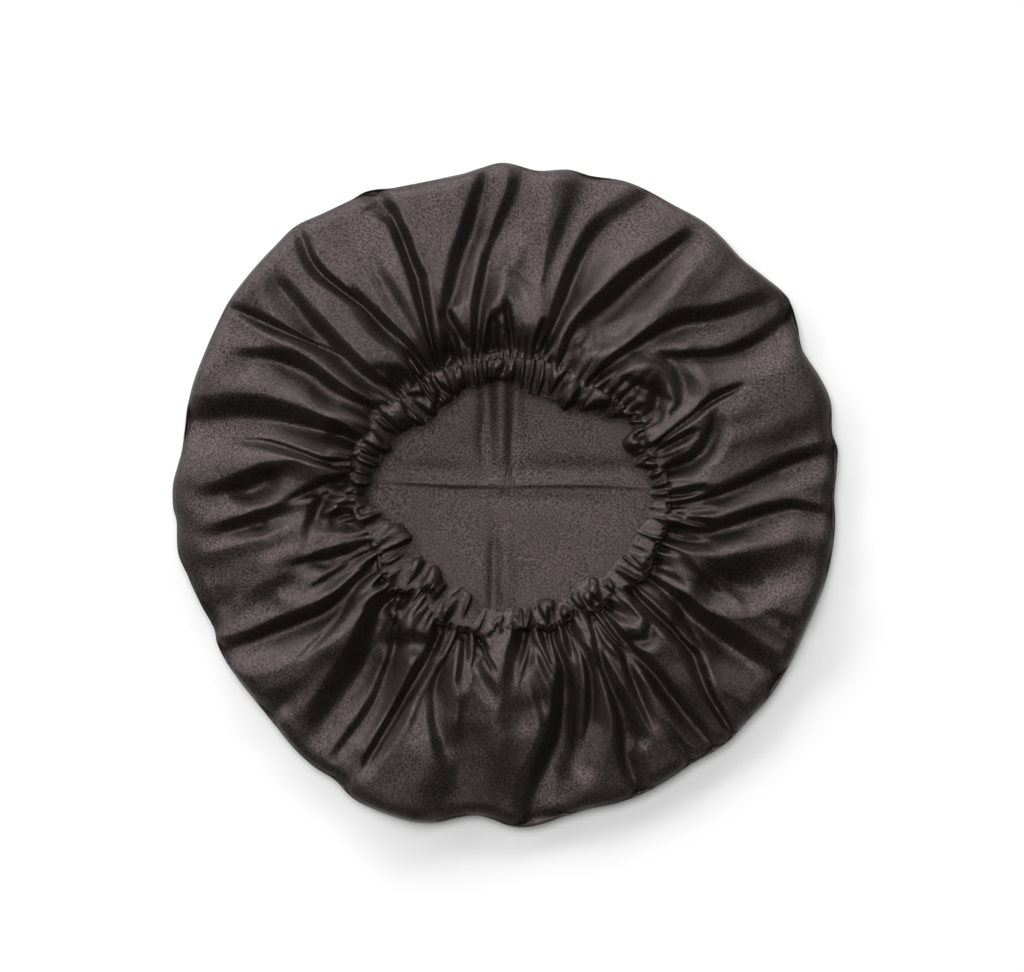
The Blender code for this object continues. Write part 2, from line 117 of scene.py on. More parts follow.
# A fold in the crown: depth in mm, its share of that at the start and the end, half width in px at
# the start and the end, and lean: 1 makes it crisp on the anticlockwise side, -1 on the other.
# The path is (px, deg) from the seam outwards. A ridge has a depth below 0.
Fold = namedtuple("Fold", "depth start end half_start half_end lean path")
FOLDS = [
    Fold(11, 0.5, 0.45, 2.5, 7, 0, ((160, -3), (200, 0.5), (240, 4.5), (280, 7.5), (320, 9))),
    Fold(11, 0.6, 0.5, 3, 6.5, 0, ((165, 348.5), (200, 350.5), (240, 356), (280, 358.5), (303, 358))),
    Fold(3, 0.5, 0.5, 5, 5, 0, ((225, 0), (262, 1), (300, 2))),
    Fold(4, 0.5, 0.6, 9, 10, 0, ((200, 9), (255, 11.5), (312, 14))),
    Fold(9, 0.6, 0.5, 2.5, 4, 0, ((155, 9), (170, 11), (190, 12.5), (205, 16), (213, 19))),
    Fold(6, 0.8, 0.5, 1.5, 2.2, 0.6, ((160, 18.3), (185, 21), (205, 22.5), (225, 24), (250, 24.3))),
    Fold(5, 1, 1, 2.5, 2.5, 0, ((166, 18.3), (184, 19.2))),
    Fold(9, 0.5, 0.4, 5, 4.5, -0.8, ((179, 26), (196, 29), (203, 33), (204, 37), (201, 41), (193, 46))),
    Fold(-2.2, 0.4, 0.6, 7, 6, 0, ((215, 42), (226, 33), (209, 26.6), (182, 23.3), (162, 21.2))),
    Fold(5, 0.8, 0.5, 2, 2.5, 0, ((188, 31.5), (181, 36.5), (171, 42.5))),
    Fold(6, 1, 1, 5, 5, 0, ((168, 30.5), (173, 33))),
    Fold(8, 0.5, 0.6, 2.2, 7, 0,
         ((197, 46), (213, 42), (232, 38), (250, 35), (275, 33), (300, 32.5), (325, 33))),
    Fold(10, 0.5, 0.5, 1.8, 8, 0,
         ((140, 54.5), (175, 52), (200, 50), (225, 48), (250, 45.5), (265, 43), (290, 40), (312, 38.5))),
    Fold(13, 0.5, 0.5, 7, 6, 0,
         ((148, 68.5), (175, 69.5), (200, 66.5), (225, 63), (250, 61), (275, 58.5), (302, 56.5))),
    Fold(6, 0.6, 0.4, 3, 4, 0, ((163, 66), (185, 61), (198, 58), (220, 54))),
    Fold(10, 0.6, 0.6, 2, 9, 0,
         ((145, 78), (165, 76), (190, 75), (215, 74.5), (240, 74), (265, 73), (290, 71), (326, 67))),
    Fold(4, 0.5, 0.5, 1.5, 1.5, 0, ((200, 74), (218, 70.5))),
    Fold(2.5, 0.5, 0.5, 4, 4, 0, ((250, 67), (285, 66))),
    Fold(3, 0.5, 0.5, 4, 5, 0, ((225, 80), (290, 78.5))),
    Fold(5, 1, 1, 2, 2, 0, ((159, 79), (168, 78.6))),
    Fold(4, 0.5, 0.4, 3.5, 4, -0.8, ((190, 85), (205, 87), (213, 90), (218, 93))),
    Fold(3, 1, 1, 9, 9, 0, ((228, 88), (252, 88))),
    Fold(10, 0.5, 0.5, 1.8, 8, 0,
         ((145, 103), (160, 101.5), (180, 99.8), (200, 98.5), (220, 97), (240, 95.5), (260, 93.5),
          (280, 91.5), (300, 89.5), (326, 88.5))),
    Fold(9, 0.6, 0.5, 3, 6, 0,
         ((165, 105), (175, 106), (195, 107.5), (210, 106), (230, 103.5), (250, 101), (275, 98),
          (312, 95))),
    Fold(6, 1, 0.8, 3, 3, 0, ((164, 89.5), (178, 90))),
    Fold(8, 1, 0.5, 3.5, 3, 0, ((145, 98.5), (160, 97.3), (172, 96.3), (180, 95.3), (185, 92))),
    Fold(5, 1, 1, 2.5, 2.5, 0, ((146, 95), (155, 95))),
    Fold(11, 0.6, 0.5, 1.8, 7.5, 0,
         ((150, 117.5), (175, 116), (200, 114.5), (225, 113.3), (250, 112.5), (300, 112), (326, 112.5))),
    Fold(7, 0.6, 0.6, 3, 3, 0, ((144, 115.2), (152, 113.7), (161, 112.2))),
    Fold(3, 0.5, 0.5, 5, 5, 0, ((200, 119), (255, 119))),
    Fold(10, 0.6, 0.5, 2.2, 4, 0,
         ((138, 121.5), (150, 121.5), (180, 122.5), (200, 124), (225, 125.5), (240, 126))),
    Fold(5, 0.5, 0.5, 1.5, 1.5, 0, ((139, 127), (155, 126), (172, 125))),
    Fold(8, 0.4, 0.5, 2, 5, 0.3,
         ((230, 126.5), (255, 128), (275, 129), (290, 129.5), (305, 129.3), (320, 128.5))),
    Fold(11, 0.6, 0.5, 3, 6.5, 0,
         ((143, 134.8), (150, 135), (165, 136.5), (180, 137.7), (205, 138), (250, 137.3), (292, 136.5))),
    Fold(6, 0.6, 0.6, 6, 5, 0, ((148, 128.5), (160, 130.5), (171, 132.5))),
    Fold(8, 0.4, 0.5, 1.8, 4, 0.5,
         ((207, 138.5), (225, 140), (245, 141.5), (265, 142.5), (290, 143.5), (317, 144.5))),
    Fold(10, 0.6, 0.5, 4, 6, 0,
         ((160, 145.8), (175, 146.5), (200, 147), (230, 146.5), (250, 147.2), (270, 148.5), (290, 150.5))),
    Fold(6, 0.5, 0.5, 7, 7, 0, ((185, 147.5), (225, 148))),
    Fold(13, 0.6, 0.5, 3, 11, 0,
         ((152, 159), (165, 158), (180, 157.5), (200, 158.5), (240, 159.5), (265, 160.5), (290, 162),
          (312, 163.5))),
    Fold(7, 0.5, 0.4, 2.5, 2.5, 0, ((165, 158.3), (180, 159), (188, 161), (195, 163))),
    Fold(8, 0.7, 0.5, 2, 3, 0.5,
         ((168, 168), (185, 168.7), (205, 167.8), (225, 167.2), (245, 167), (270, 167.7))),
    Fold(5, 1, 1, 2, 2, 0, ((166, 169.3), (172, 169.2))),
    Fold(10, 0.4, 0.5, 5, 7, 0, ((225, 172.5), (240, 174), (260, 176.5), (280, 178))),
    Fold(9, 0.6, 0.4, 2.5, 2.5, 0, ((155, 171.5), (168, 173.5), (180, 175), (195, 177.5), (208, 179.5))),
    Fold(10, 0.6, 0.4, 3.5, 4, 0.8, ((176, 177.5), (182, 179), (190, 182), (196, 186), (202, 190))),
    Fold(9, 0.6, 0.5, 4, 3.5, 0, ((155, 185), (165, 185), (178, 186.3), (186, 187))),
    Fold(9, 0.7, 0.7, 9, 9, 0.3, ((240, 185), (258, 186))),
    Fold(2, 0.5, 0.5, 6, 7, 0, ((210, 190.5), (255, 191), (300, 191.5))),
    Fold(2.5, 0.5, 1, 8, 10, 0, ((295, 198.5), (325, 200))),
    Fold(9, 0.6, 0.4, 4, 4, 0, ((150, 197.7), (160, 198.2), (185, 198), (210, 197.5))),
    Fold(7, 0.8, 0.8, 3, 3, 0, ((154, 189.5), (166, 189.2))),
    Fold(8, 0.6, 0.5, 3, 3, 0, ((165, 202.7), (185, 203.5), (205, 204.5))),
    Fold(-1.5, 0.5, 0.5, 5, 5, 0, ((205, 209), (230, 208), (250, 203), (245, 197), (200, 193))),
    Fold(12, 0.7, 0.5, 3, 7, 0,
         ((140, 205.3), (150, 206), (165, 207.5), (180, 209), (195, 210.5), (215, 211), (240, 210),
          (265, 209), (290, 208.5), (318, 207.5))),
    Fold(7, 0.7, 0.4, 2, 2, 0, ((143, 212.5), (150, 213), (162, 214.3))),
    Fold(4, 0.5, 0.5, 1.5, 1.5, 0, ((185, 211), (198, 214.5), (215, 216), (255, 217.5))),
    Fold(3.5, 0.4, 1, 5, 8, 0, ((288, 222), (308, 221), (325, 220.5))),
    Fold(13, 0.6, 0.5, 5, 11, 0,
         ((148, 222), (152, 220.5), (158, 219), (170, 219.5), (185, 222), (205, 225), (225, 227),
          (250, 228), (277, 228.5))),
    Fold(11, 0.6, 0.5, 2.5, 5, 0,
         ((148, 224.3), (152, 225), (168, 228), (182, 230.5), (200, 233.5), (220, 235), (240, 236),
          (265, 236.3), (295, 236))),
    Fold(8, 1, 1, 6, 6, 0, ((172, 234.5), (167, 237.5))),
    Fold(3, 0.4, 1, 4, 7, 0, ((290, 238.5), (325, 238.5))),
    Fold(11, 0.6, 0.5, 3.5, 5, 0.5,
         ((146, 241.5), (165, 243.3), (185, 243), (215, 242.7), (240, 242.4), (265, 242.2), (292, 242))),
    Fold(8, 0.6, 0.4, 4, 6, 0, ((165, 243.8), (185, 244.5), (210, 245.5), (235, 246.5))),
    Fold(9, 0.6, 0.7, 2, 5.5, 0,
         ((148, 250.7), (172, 249.3), (195, 248), (228, 250.5), (256, 254.5))),
    Fold(4, 0.4, 0.8, 7, 9, 0, ((225, 258), (265, 258), (310, 257))),
    Fold(4, 0.4, 0.6, 6, 8, 0, ((205, 199), (250, 201), (300, 202.5))),
    Fold(3, 0.5, 1, 8, 10, 0, ((295, 255), (325, 255))),
    Fold(10, 0.9, 0.8, 3.5, 4, 0, ((152, 252.2), (162, 253.2), (175, 254.2))),
    Fold(8, 0.7, 0.6, 5, 8, 0, ((158, 257.5), (168, 258), (177, 260.5))),
    Fold(9, 0.7, 0.7, 2.5, 2.5, 0, ((143, 257.5), (150, 260), (158, 262), (165, 264))),
    Fold(13, 0.6, 0.5, 2, 10, 0,
         ((140, 288), (150, 287.3), (175, 287.3), (190, 286), (205, 284.5), (230, 282), (250, 279.5),
          (265, 277), (280, 275), (300, 273.5), (326, 273))),
    Fold(4, 0.6, 0.6, 9, 9, 0, ((200, 270.5), (240, 270.5))),
    Fold(3, 0.6, 0.6, 5, 5, 0, ((195, 278), (220, 279))),
    Fold(9, 0.8, 0.7, 4, 4.5, 0, ((145, 273), (155, 271.8), (165, 271.2))),
    Fold(8, 0.8, 0.7, 2.5, 2.5, 0, ((140, 276.2), (150, 275.3), (155, 274.5))),
    Fold(5, 0.5, 0.5, 1.5, 1.5, 0, ((136, 280), (150, 278.5), (165, 277), (180, 274.5))),
    Fold(9, 0.8, 0.7, 2.5, 2.5, 0, ((137, 284), (150, 284.3), (165, 284.8))),
    Fold(4, 1, 1, 4, 4, 0, ((160, 281.5), (174, 283))),
    Fold(10, 0.5, 0.5, 2.5, 5, 0,
         ((150, 295.3), (170, 295.5), (190, 294.5), (210, 292.5), (230, 290), (250, 287.5), (272, 285))),
    Fold(9, 0.8, 0.6, 4, 4, 0, ((140, 294), (148, 293.5), (155, 292.5), (165, 291.7), (184, 291))),
    Fold(9, 0.6, 0.5, 1.8, 6, 0,
         ((152, 303.5), (160, 302.5), (178, 300), (190, 299), (210, 298), (235, 297), (260, 295.5),
          (280, 294), (312, 293.5))),
    Fold(8, 0.6, 0.4, 2.5, 4, 0, ((150, 306.3), (185, 306.3), (205, 305), (230, 303.5), (257, 302.5))),
    Fold(4, 1, 1, 5, 5, 0, ((175, 303.5), (192, 303.5))),
    Fold(9, 0.6, 0.5, 3, 6, 0,
         ((152, 310), (170, 309.7), (190, 310), (220, 310.5), (250, 310.2), (275, 310), (307, 310))),
    Fold(8, 0.6, 0.6, 4, 4, 0, ((186, 312), (194, 315), (186, 318))),
    Fold(8, 1, 1, 4, 4, 0, ((150, 315), (160, 316.2))),
    Fold(12, 0.6, 0.5, 3, 6, 0,
         ((150, 325), (165, 323.5), (190, 322.5), (210, 321.5), (235, 319.5), (255, 317.5), (275, 316),
          (307, 314.5))),
    Fold(2.5, 0.5, 1, 4, 5, 0, ((290, 305), (325, 305))),
    Fold(2.5, 0.5, 1, 4, 5, 0, ((290, 318.3), (325, 318.3))),
    Fold(5, 0.5, 0.5, 2, 2, 0, ((205, 327.5), (225, 324.5), (250, 322.5))),
    Fold(13, 0.7, 0.5, 4, 10, 0,
         ((160, 332), (168, 331.8), (180, 331.3), (200, 330), (225, 328.5), (280, 328), (312, 328))),
    Fold(2.5, 0.5, 1, 4, 6, 0, ((300, 336.5), (326, 336.5))),
    Fold(12, 0.5, 0.5, 9, 14, 0, ((205, 340.5), (225, 340.5), (245, 342.5), (262, 345))),
    Fold(-3, 0.5, 0.5, 3.5, 3.5, 0, ((190, 342), (220, 338), (250, 335.5))),
    Fold(9, 0.8, 0.7, 3, 3, 0, ((180, 347.3), (200, 347.5))),
    Fold(7, 1, 1, 2.5, 2.5, 0, ((190, 353.3), (202, 353))),
    Fold(6, 1, 1, 2.5, 2.5, 0, ((188, 356.3), (198, 356.8))),
    Fold(7, 1, 1, 4, 4, 0, ((165, 335.8), (184, 335))),
    Fold(8, 0.8, 0.6, 2.2, 2.5, 0, ((163, 347.5), (175, 346.8), (190, 346.6))),
    Fold(9, 0.8, 0.6, 2.5, 2.5, 0, ((165, 350), (178, 350.3), (192, 350.8))),
    Fold(5, 0.6, 0.6, 2, 2, 0, ((170, 354.8), (182, 354.3))),
    Fold(8, 1, 0.7, 3, 3, 0, ((160, 338), (168, 338))),
    Fold(6, 0.8, 0.6, 2, 2, 0, ((160, 342), (172, 342.4))),
    Fold(6, 1, 1, 3, 3, 0, ((176, 2), (187, 2.6))),
]

# A pucker in the casing: depth in mm, half width in px, and its path
Pucker = namedtuple("Pucker", "depth half path")
PUCKERS = [
    Pucker(3.5, 2, ((143, 0.2), (165, -0.6))),
    Pucker(3.5, 2, ((143, 3), (162, 4))),
    Pucker(4, 2.2, ((139, 8), (150, 7.6), (162, 9.5))),
    Pucker(4, 3.5, ((137, 12), (151, 12))),
    Pucker(4, 2.5, ((152, 15), (160, 15))),
    Pucker(2.5, 1.2, ((133, 17.3), (152, 17.6))),
    Pucker(5, 3, ((150, 18.5), (148, 22))),
    Pucker(3, 4.5, ((127, 20.5), (139, 20.3))),
    Pucker(4, 1.6, ((178, 25.6), (163, 27), (150, 29))),
    Pucker(3.5, 1.5, ((176, 26.5), (160, 29.8), (144, 34))),
    Pucker(5, 3, ((164, 23.8), (155, 24.5))),
    Pucker(4, 2.5, ((139, 36.8), (145, 36.5))),
    Pucker(3, 1.4, ((158, 41.3), (149, 41), (140, 38.5))),
    Pucker(3.5, 1.5, ((165, 45.6), (147, 44.2), (136, 41), (130, 39.5))),
    Pucker(5, 4.5, ((132, 43), (124, 45.5), (115, 47))),
    Pucker(4, 2.5, ((147, 47), (147, 51))),
    Pucker(3.5, 2, ((122, 51.8), (113, 51.5))),
    Pucker(5, 2.2, ((150, 54), (136, 54.6), (128, 55))),
    Pucker(5, 5, ((156, 60.5), (148, 58.5), (139, 57))),
    Pucker(4, 3, ((112, 54.5), (103, 54.5))),
    Pucker(3.5, 2, ((150, 62.8), (142, 62.5))),
    Pucker(3.5, 1.6, ((143, 61), (130, 63))),
    Pucker(4.5, 2.2, ((138, 64.5), (120, 66), (106, 67))),
    Pucker(5.5, 3, ((155, 68), (146, 68.5))),
    Pucker(5, 2.5, ((145, 75), (130, 73.5), (118, 72), (105, 71.8))),
    Pucker(3, 1.8, ((124, 76), (118, 77))),
    Pucker(5, 2, ((145, 78.5), (130, 77.5), (115, 77))),
    Pucker(3, 1.3, ((143, 76.8), (130, 76.2))),
    Pucker(4.5, 2.2, ((152, 82.8), (135, 82.2), (115, 81.8))),
    Pucker(5, 2, ((153, 86), (130, 86), (118, 86))),
    Pucker(5, 2.5, ((140, 88), (144, 90.5), (143.5, 93), (141, 95.5))),
    Pucker(5, 2.5, ((140, 89.5), (133, 91))),
    Pucker(3, 1.5, ((140, 96.5), (130, 97.6))),
    Pucker(2.5, 1.3, ((135, 98.6), (122, 98.8))),
    Pucker(5, 2, ((150, 101.5), (135, 103), (115, 103.3))),
    Pucker(4, 2, ((130, 105.5), (138, 105), (139, 103.5))),
    Pucker(5, 2, ((150, 105), (135, 107), (113, 108))),
    Pucker(4, 1.6, ((145, 108.7), (130, 109.6), (116, 110))),
    Pucker(4, 2.5, ((154, 108.2), (149, 108.8))),
    Pucker(3, 3, ((139, 110), (138, 112.5))),
    Pucker(3.5, 1.5, ((136, 114.5), (125, 116.5), (112, 118))),
    Pucker(4, 1.8, ((143, 115.8), (135, 116.3))),
    Pucker(4.5, 2.5, ((126, 120.5), (121, 119))),
    Pucker(4, 2, ((122, 124), (118, 126))),
    Pucker(5, 2, ((152, 121.8), (137, 121.6), (125, 121))),
    Pucker(4, 2, ((155, 123.2), (150, 122.8))),
    Pucker(3, 1.5, ((143, 125.6), (135, 125.8))),
    Pucker(4, 1.8, ((156, 126), (140, 127.2), (128, 127.3))),
    Pucker(4, 2, ((142, 134.5), (136, 132), (131, 129))),
    Pucker(4, 2.5, ((130, 129.5), (133, 128.5))),
    Pucker(6, 4, ((134, 134.5), (115, 134))),
    Pucker(4, 1.6, ((141, 137), (130, 139.5), (118, 142))),
    Pucker(3, 2, ((152, 141), (151, 142))),
    Pucker(3.5, 1.8, ((155, 146.4), (140, 147.2), (130, 147.8))),
    Pucker(4.5, 3, ((163, 145.8), (156, 146))),
    Pucker(6, 4.5, ((160, 149.5), (152, 151))),
    Pucker(4.5, 1.6, ((158, 151.5), (146, 153), (136, 155.8))),
    Pucker(5, 5, ((136, 151), (124, 152.5))),
    Pucker(5, 1.8, ((164, 158.2), (150, 159.2), (133, 160.5))),
    Pucker(4.5, 2, ((156, 162.4), (140, 163), (130, 163.3))),
    Pucker(3, 2, ((157, 160.3), (155, 161))),
    Pucker(5, 2.5, ((156, 166.8), (147, 167.3), (137, 168))),
    Pucker(3.5, 2.5, ((159, 165.5), (158, 168.5))),
    Pucker(4, 2, ((155, 170.6), (140, 171.2), (134, 171.3))),
    Pucker(4.5, 2, ((151, 176.2), (138, 176.4))),
    Pucker(4, 2.5, ((157, 176), (156, 178))),
    Pucker(4.5, 2, ((147, 179), (137, 179.2))),
    Pucker(5, 2.2, ((152, 181), (139, 181))),
    Pucker(5, 2.2, ((151, 183.2), (149, 184.8), (144, 184.8), (140, 183), (143, 181.6), (149, 181.8))),
    Pucker(4, 1.5, ((142, 185), (133, 185.2), (124, 185.6))),
    Pucker(5, 4.5, ((138, 190), (130, 188.8), (122, 187.5))),
    Pucker(3, 1.5, ((160, 192.6), (148, 193.2))),
    Pucker(5, 2.5, ((149, 197.5), (143, 196.5), (135, 194), (124, 191.5))),
    Pucker(2.5, 4, ((140, 199), (132, 199.3))),
    Pucker(5, 2.5, ((142, 205.7), (130, 204.6), (118, 205.2), (106, 206))),
    Pucker(4, 3.5, ((139, 204.8), (137, 206.5))),
    Pucker(5, 2.2, ((152, 210), (143, 210), (130, 210.6), (115, 210.4), (106, 210.5))),
    Pucker(6, 5, ((143, 219), (137, 216.5), (128, 213))),
    Pucker(4, 3, ((118, 221), (108, 220))),
    Pucker(5.5, 2.5, ((157, 218.7), (150, 220), (146, 222.8))),
    Pucker(5, 3, ((146, 222.9), (135, 222.3), (120, 221.6))),
    Pucker(4, 3, ((131, 222.5), (127, 226), (128, 229.5), (133, 232.5), (141, 235))),
    Pucker(3.5, 3, ((146, 228.5), (142, 229.3))),
    Pucker(5, 2.5, ((148, 236), (140, 234), (131, 231))),
    Pucker(5, 2.5, ((140, 234.5), (125, 235.6), (110, 236.8))),
    Pucker(4.5, 2, ((132, 237), (122, 237))),
    Pucker(5.5, 4, ((142, 240.5), (134, 237.5))),
    Pucker(2.5, 1.3, ((129, 238.5), (118, 241), (104, 245))),
    Pucker(2.5, 1.3, ((121, 239.5), (112, 242), (104, 244))),
    Pucker(6, 5, ((141, 245.5), (128, 244.5))),
    Pucker(4, 2.5, ((139, 247.5), (132, 247.6))),
    Pucker(6, 4, ((141, 250), (131, 250.8))),
    Pucker(5, 2.5, ((132, 251), (118, 251.6), (107, 251.8))),
    Pucker(5, 2.6, ((128, 254.7), (119, 254.4), (112, 255), (110, 257))),
    Pucker(4, 2.5, ((118, 256.5), (110, 255.8))),
    Pucker(5, 2, ((145, 251.3), (141, 254), (140, 256.5), (142, 258.3))),
    Pucker(3, 5, ((137, 254), (135, 256.5))),
    Pucker(5, 2.2, ((143, 258.2), (132, 259), (118, 260.2))),
    Pucker(5, 2, ((147, 263.3), (135, 264.5))),
    Pucker(4, 2, ((147, 266.3), (138, 265.8))),
    Pucker(4.5, 2.2, ((146, 266.8), (134, 267))),
    Pucker(3, 2.5, ((136, 262.4), (127, 262))),
    Pucker(4, 2.5, ((117, 263.2), (111, 264))),
    Pucker(4, 2.2, ((116, 266.3), (113, 267.5))),
    Pucker(5, 2.5, ((140, 268.2), (133, 270))),
    Pucker(2.5, 1.5, ((132, 268.3), (115, 268.8))),
    Pucker(5, 3, ((119, 270), (110, 272))),
    Pucker(4, 2, ((119, 275.3), (112, 274.7))),
    Pucker(4, 2.2, ((120, 277.8), (110, 278.3))),
    Pucker(4, 2.2, ((137, 279.6), (127, 280.6))),
    Pucker(3.5, 1.8, ((130, 282.8), (115, 283))),
    Pucker(4, 2.5, ((138, 283.6), (133, 283.5))),
    Pucker(5, 3, ((131, 287.3), (126, 286.8))),
    Pucker(4, 1.8, ((146, 286.7), (130, 285.2), (115, 284.8))),
    Pucker(5, 2, ((143, 288.8), (132, 291), (122, 293.3), (115, 295))),
    Pucker(4, 2, ((140, 287.8), (128, 289.3))),
    Pucker(5, 2.5, ((141, 294), (137, 294))),
    Pucker(3.5, 2.5, ((119, 296), (117, 298))),
    Pucker(6, 4.5, ((135, 297.5), (134, 300), (134, 303))),
    Pucker(3.5, 2, ((120, 299.5), (126, 301), (119, 301.5))),
    Pucker(4, 2, ((143, 303.4), (128, 303))),
    Pucker(3.5, 2, ((155, 303.2), (140, 305.8), (120, 308))),
    Pucker(3.5, 2, ((114, 304.5), (113, 308))),
    Pucker(5, 3.5, ((116, 309), (111, 312))),
    Pucker(4.5, 2.5, ((147, 309.3), (142, 309.8))),
    Pucker(4, 2.2, ((149, 312), (143, 311.5))),
    Pucker(5, 2, ((143, 312.8), (134, 315), (123, 318))),
    Pucker(4, 2.5, ((138, 314.3), (136, 315.3))),
    Pucker(5, 3.5, ((160, 316.2), (151, 315))),
    Pucker(5, 3.5, ((155, 319.8), (145, 318))),
    Pucker(3.5, 3, ((141, 317.8), (134, 317.7))),
    Pucker(6, 4.5, ((156, 321.5), (144, 323))),
    Pucker(5, 2, ((158, 323.7), (148, 324.8), (137, 325.4))),
    Pucker(2.5, 1.5, ((162, 326.5), (145, 326.6))),
    Pucker(3.5, 2, ((126, 318), (125, 321))),
    Pucker(3.5, 2, ((128, 325.3), (126, 328))),
    Pucker(5, 2, ((155, 331), (140, 331.4), (128, 331.8))),
    Pucker(4, 2, ((150, 333), (138, 335))),
    Pucker(4, 2.5, ((154, 334.8), (153.5, 336.3))),
    Pucker(3.5, 1.6, ((150, 335), (140, 338.5))),
    Pucker(5, 2.5, ((153, 339.5), (145, 338.7), (134, 339))),
    Pucker(5, 2.2, ((163, 341.9), (142, 342))),
    Pucker(5, 3, ((152, 344), (141, 344.4))),
    Pucker(5, 2, ((160, 347.5), (136, 348))),
    Pucker(5, 3, ((156, 350), (149, 350.6))),
    Pucker(4, 2.2, ((146, 350), (139, 350))),
    Pucker(5, 3, ((150, 352), (142, 352.6))),
    Pucker(5, 2.2, ((162, 355.2), (143, 355))),
    Pucker(3.5, 2, ((162, 353.6), (161, 355))),
    Pucker(5, 3, ((155, 358), (149, 358.6))),
    Pucker(5, 3.5, ((169, 359.6), (162, 360))),
    Pucker(4, 2.5, ((148, 359.5), (142, 360))),
]

# A pressed crease in the flat panel: rise in mm, or a fall below 0, half width in px, and its path in
# the photo's own x and y
Press = namedtuple("Press", "rise half path")
PRESSES = [
    Press(0.7, 3.0, ((385, 480), (450, 484), (520, 484), (590, 484), (650, 487))),
    Press(-0.9, 11, ((505, 471), (570, 470), (645, 472))),
    Press(-0.5, 9, ((395, 470), (440, 470), (475, 472))),
    Press(-0.4, 8, ((470, 497), (540, 500), (620, 503))),
    Press(-1.35, 8, ((486, 372), (486, 420), (485, 470))),
    Press(0.75, 7, ((501, 370), (501, 420), (502, 476))),
    Press(-1.2, 8, ((516, 375), (516, 425), (515, 470))),
    Press(-1.25, 6, ((494, 535), (494, 575), (493, 615))),
    Press(0.7, 9, ((506, 530), (506, 575), (507, 615))),
]


def at_pixel(px, deg):
    angle = np.radians(deg)
    return np.stack([px * np.cos(angle), px * np.sin(angle)], axis=-1)


def round_table(rows, deg):
    """Smooth closed curve through (deg, value) rows, at an array of degrees."""
    known = np.array([row[0] for row in rows], float)
    values = np.array([row[1] for row in rows], float)
    deg = np.mod(deg, 360.0)
    after = np.searchsorted(known, deg, side="right")
    count = len(rows)
    start, end = (after - 1) % count, after % count
    before, beyond = (after - 2) % count, (after + 1) % count
    span = np.mod(known[end] - known[start], 360.0)
    t = np.mod(deg - known[start], 360.0) / span
    a, b, c, d = values[before], values[start], values[end], values[beyond]
    return b + 0.5 * t * (c - a + t * (2 * a - 5 * b + 4 * c - d + t * (3 * (b - c) + d - a)))


def smooth_step(share):
    share = np.clip(share, 0.0, 1.0)
    return share * share * (3 - 2 * share)


def lattice_noise(points, cell, seed):
    """Soft noise from -1 to 1 at points in px, with bumps about one cell across."""
    draw = np.random.RandomState(seed)
    size = 256
    lattice = draw.uniform(-1, 1, (size, size))
    place = points / cell
    base = np.floor(place).astype(int)
    share = smooth_step(place - base)
    x0, y0 = base[..., 0] % size, base[..., 1] % size
    x1, y1 = (x0 + 1) % size, (y0 + 1) % size
    low = lattice[x0, y0] * (1 - share[..., 0]) + lattice[x1, y0] * share[..., 0]
    high = lattice[x0, y1] * (1 - share[..., 0]) + lattice[x1, y1] * share[..., 0]
    return low * (1 - share[..., 1]) + high * share[..., 1]


def streaks(px, deg, count, length, seed):
    """Soft noise from -1 to 1 in radial streaks: count cells round the bonnet, each length px long."""
    draw = np.random.RandomState(seed)
    lattice = draw.uniform(-1, 1, (count, 64))
    x = np.mod(deg, 360.0) / 360.0 * count
    y = px / length
    x0, y0 = np.floor(x).astype(int), np.floor(y).astype(int)
    u, v = smooth_step(x - x0), smooth_step(y - y0)
    x0, x1 = x0 % count, (x0 + 1) % count
    near = lattice[x0, y0] * (1 - u) + lattice[x1, y0] * u
    far = lattice[x0, y0 + 1] * (1 - u) + lattice[x1, y0 + 1] * u
    return near * (1 - v) + far * v


def smooth_path(path, step=5.0):
    """Points about one step apart on a smooth curve through the path's points."""
    points = np.array(path, float)
    if len(points) > 2:
        padded = np.vstack([2 * points[0] - points[1], points, 2 * points[-1] - points[-2]])
        out = []
        for a, b, c, d in zip(padded, padded[1:], padded[2:], padded[3:]):
            pieces = max(1, int(np.linalg.norm(c - b) / step))
            for k in range(pieces):
                t = k / pieces
                out.append(
                    b + 0.5 * t * (c - a + t * (2 * a - 5 * b + 4 * c - d + t * (3 * (b - c) + d - a)))
                )
        points = np.array(out + [points[-1]])
    return points


def beside_path(points, path):
    """Where each point lies beside a path.

    Returns the signed distance, more than 0 on the path's left, the share of the way along it, the
    distance past its ends and the direction of its left at the nearest place.
    """
    best = np.full(len(points), 1e9)
    signed, along, past = np.zeros((3, len(points)))
    left = np.zeros((len(points), 2))
    lengths = np.linalg.norm(np.diff(path, axis=0), axis=1)
    ends = np.concatenate([[0.0], np.cumsum(lengths)])
    last = len(lengths) - 1
    for k, (start, end, length) in enumerate(zip(path, path[1:], lengths)):
        run = (end - start) / length
        offset = points - start
        reached = offset @ run
        t = np.clip(reached, 0, length)
        beyond = reached - t
        across = run[0] * offset[:, 1] - run[1] * offset[:, 0]
        distance = np.hypot(beyond, across)
        near = distance < best
        best[near] = distance[near]
        outside = near & (((k == 0) & (beyond < 0)) | ((k == last) & (beyond > 0)))
        inside = near & ~outside
        signed[inside] = (np.where(across >= 0, 1, -1) * distance)[inside]
        signed[outside] = across[outside]
        past[inside] = 0
        past[outside] = np.abs(beyond[outside])
        along[near] = (ends[k] + t[near]) / ends[-1]
        left[near] = (-run[1], run[0])
    return signed, along, past, left


LIGHT_AZIMUTH = 116.0
AWAY = np.array([-math.cos(math.radians(LIGHT_AZIMUTH)), -math.sin(math.radians(LIGHT_AZIMUTH))])
NORM = 1.7  # 1 adds folds that run together, and more lets the deepest win


